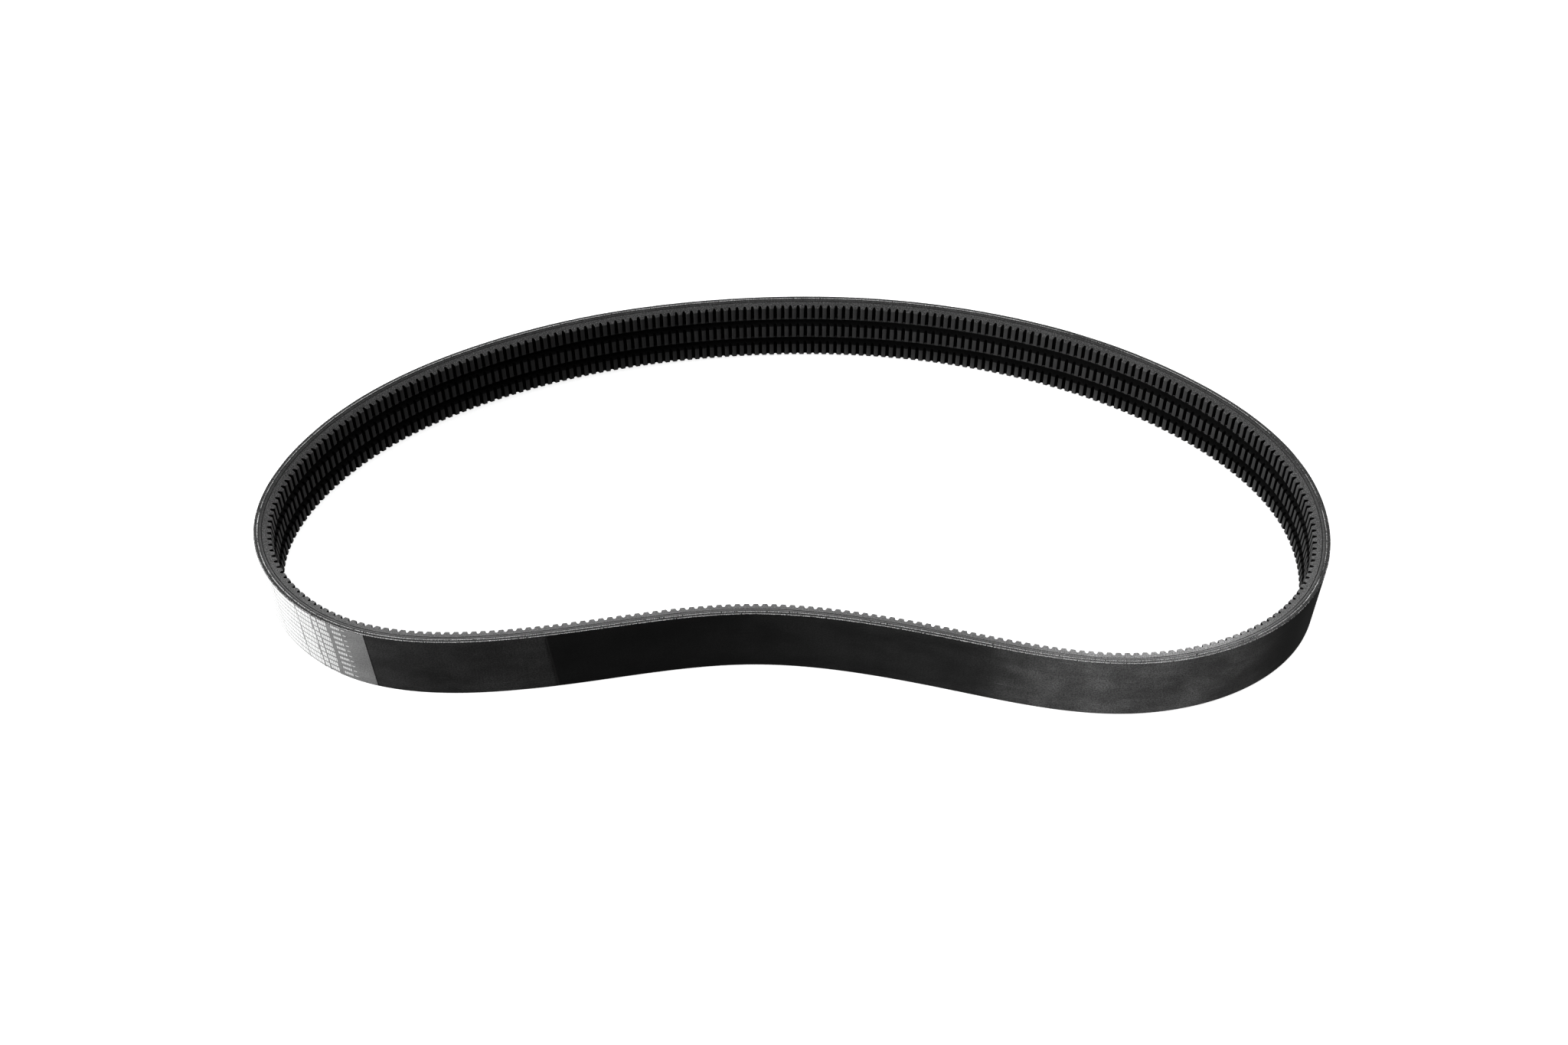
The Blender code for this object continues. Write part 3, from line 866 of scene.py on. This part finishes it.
def make_thin_layer(strand, layer, loop, depths, middle, material, proud):
    """One flat layer of a strand, its edges leaning with the flanks."""
    rng = np.random.default_rng(LAYER_SEED + STRANDS.index(strand) * 7 + len(layer))
    d0, d1 = between_seams(depths)
    w0, w1 = half_width(d0) + proud, half_width(d1) + proud
    r, bend = LAYER_CORNER, LAYER_ROUNDING
    side = [
        (d0, w0 - r), (d0 + bend, w0 - bend), (d0 + r, w0),
        (d1 - r, w1), (d1 - bend, w1 - bend), (d1, w1 - r),
    ]
    section = [(d, w + middle) for d, w in reversed(side)] + [(d, middle - w) for d, w in side]
    name = f"{strand}_strand_{layer}_layer"
    s = loop.stations(LAYER_STEP)
    return sweep_section(name, loop, s, np.array(section), True, material, rng, LAYER_WANDER)


# ---------------------------------------------------------------- the label


def make_label(loop, materials):
    """The film, round the loop's left end."""
    low, high = heights("printed_label")
    s = stations_between(LABEL_FROM, LABEL_TO, LABEL_STEP)
    section = rounded_box_section(LABEL_DEPTHS, low, high, LABEL_CORNER, across=5)
    return sweep_section("label_film", loop, s, section, False, materials["label"], lean=LABEL_LEAN)


def print_ticks(low, high):
    """The ticks of every row as (start, end, lowest, highest); the film's edges cut off the outer rows."""
    rng = np.random.default_rng(PRINT_SEED)
    ticks = []
    for row in range(PRINT_ROWS):
        z = high - PRINT_FIRST_ROW - row * PRINT_ROW_PITCH
        for start, end, shortest, longest, gap, tall in PRINT_COLUMNS:
            bottom, top = max(z - tall / 2, low + PRINT_MARGIN), min(z + tall / 2, high - PRINT_MARGIN)
            at = start
            while at < end - shortest / 2 and top - bottom > PRINT_LOWEST:
                length = min(rng.uniform(shortest, longest), end - at)
                ticks.append((at, at + length, bottom, top))
                at += length + gap
    return ticks


def make_print(loop, materials):
    """Rows of plain ticks in columns, in place of lettering."""
    outer, inner = PRINT_DEPTHS
    vertices, faces = [], []
    low, high = heights("printed_label")
    for s0, s1, z0, z1 in print_ticks(low, high):
        slope = LABEL_LEAN * ((z0 + z1) - (low + high)) / 2
        at, inward = loop.frame_at(np.linspace(s0, s1, PRINT_SEGMENTS + 1) + slope)
        base = len(vertices)
        for point, normal in zip(at, inward):
            for d, z in ((outer, z0), (outer, z1), (inner, z1), (inner, z0)):
                vertices.append((*(point + normal * d), z))
        end = base + 4 * PRINT_SEGMENTS
        for a in range(base, end, 4):
            for k in range(4):
                k2 = (k + 1) % 4
                faces.append((a + k, a + 4 + k, a + 4 + k2, a + k2))
        faces.append((base, base + 1, base + 2, base + 3))
        faces.append((end + 3, end + 2, end + 1, end))
    faces = np.array(faces)
    uvs = np.zeros((faces.size, 2))
    return mesh_from("label_print", vertices, faces, uvs, materials["print"], smooth_under=30.0)


# ---------------------------------------------------------------- the whole belt


def add_to(obj):
    """Lets an object move with the belt."""
    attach(obj, "root")


def stand_for(obj, slot, *nodes):
    """Lets an object move with the belt in place of these CAD nodes."""
    add_to(obj)
    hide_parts(*nodes)


def make_belt(loop):
    materials = belt_materials()
    rng = np.random.default_rng(TIE_BAND_SEED)
    stand_for(make_cover(loop, materials), "cover_fabric", "cover_fabric")
    gum = make_sheet("tie_band_gum_sheet", loop, GUM_DEPTHS, GUM_SHORT, materials["gum"], rng)
    stand_for(gum, "band_gum", "tie_band_gum")
    ply = make_sheet("tie_band_inner_ply_cloth", loop, PLY_DEPTHS, PLY_SHORT, materials["ply"], rng)
    stand_for(ply, "band_ply", "tie_band_inner_ply")
    yarn = materials["yarn"]
    add_to(make_yarn_ends("inner_ply_yarn_ends", loop, PLY_YARN_DEPTH, yarn, rng))
    add_to(make_yarn_ends("cover_yarn_ends", loop, COVER_YARN_DEPTH, yarn, rng))
    stand_for(make_label(loop, materials), "label_film", "printed_label")
    add_to(make_print(loop, materials))
    for strand in STRANDS:
        low, high = heights(f"{strand}_strand_overcord")
        middle = (low + high) / 2
        for layer, slot, depths, material, proud in THIN_LAYERS:
            made = make_thin_layer(strand, layer, loop, depths, middle, materials[material], proud)
            stand_for(made, slot, f"{strand}_strand_{layer}")
        base = make_base(strand, loop, middle, materials)
        stand_for(base, "base_rubber", f"{strand}_strand_cogged_base")


# ---------------------------------------------------------------- studio


def turned_to(at, aim):
    """The rotation that points a lamp or camera at its aim."""
    return (Vector(aim) - Vector(at)).to_track_quat("-Z", "Y").to_euler()


def add_light(name, kind, at, aim, power, **look):
    """A light that the camera doesn't see."""
    light = bpy.data.lights.new(name, kind)
    light.energy = power
    for key, value in look.items():
        setattr(light, key, value)
    obj = bpy.data.objects.new(name, light)
    obj.location = at
    obj.rotation_euler = turned_to(at, aim)
    obj.visible_camera = False
    bpy.context.scene.collection.objects.link(obj)


def make_floor():
    """A light table that curves up into a wall all round, far outside the camera's view."""
    flat = FLOOR_RADIUS - COVE_RADIUS
    profile = [(0.0, 0.0), (flat, 0.0)]
    for k in range(1, COVE_STEPS + 1):
        a = math.radians(90 * k / COVE_STEPS)
        profile.append((flat + COVE_RADIUS * math.sin(a), COVE_RADIUS * (1 - math.cos(a))))
    profile.append((FLOOR_RADIUS, WALL_TOP))
    work = bmesh.new()
    points = [work.verts.new((radius, 0, z)) for radius, z in profile]
    for pair in zip(points, points[1:]):
        work.edges.new(pair)
    bmesh.ops.spin(
        work, geom=work.verts[:] + work.edges[:], axis=(0, 0, 1), cent=ORIGIN, steps=FLOOR_SIDES,
        angle=math.tau,
    )
    bmesh.ops.remove_doubles(work, verts=work.verts, dist=MM)
    bmesh.ops.recalc_face_normals(work, faces=work.faces)
    work.normal_update()
    lowest = min(work.faces, key=lambda face: face.calc_center_median().z)
    if lowest.normal.z < 0:
        bmesh.ops.reverse_faces(work, faces=work.faces)
    mesh = bpy.data.meshes.new("studio_floor")
    work.to_mesh(mesh)
    work.free()
    mesh.shade_smooth()
    mesh.materials.append(floor_material())
    floor = bpy.data.objects.new("studio_floor", mesh)
    floor.location.z = -FLOOR_DROP
    # The table doesn't light the belt, whose faces keep the softboxes' shading
    floor.visible_diffuse = False
    floor.visible_glossy = False
    bpy.context.scene.collection.objects.link(floor)


def make_studio():
    make_floor()
    for name, at, (width, height), power in SOFTBOXES:
        add_light(name, "AREA", at, ORIGIN, power, shape="RECTANGLE", size=width, size_y=height)
    add_light("bend_lamp", "SPOT", BEND_LAMP_AT, BEND_LAMP_AIM, BEND_LAMP_POWER, **BEND_LAMP_LOOK)
    world = bpy.data.worlds.new("studio")
    world.use_nodes = True
    background = world.node_tree.nodes["Background"]
    background.inputs["Color"].default_value = WHITE
    background.inputs["Strength"].default_value = WORLD_STRENGTH
    bpy.context.scene.world = world
    bpy.context.scene.view_settings.view_transform = "Standard"


def make_camera():
    camera = bpy.data.cameras.new("camera")
    camera.lens = CAMERA_LENS
    camera.sensor_width = CAMERA_SENSOR
    obj = bpy.data.objects.new("camera", camera)
    obj.location = CAMERA_AT
    obj.rotation_euler = turned_to(CAMERA_AT, CAMERA_AIM)
    bpy.context.scene.collection.objects.link(obj)
    bpy.context.scene.camera = obj


overcord_low, overcord_high = heights("lower_strand_overcord")
STRAND_HALF = (overcord_high - overcord_low) / 2
BELT_MIDDLE = (CAD_BOX[0][2] + CAD_BOX[1][2]) / 2
LOOP = Loop()
make_belt(LOOP)
make_studio()
make_camera()
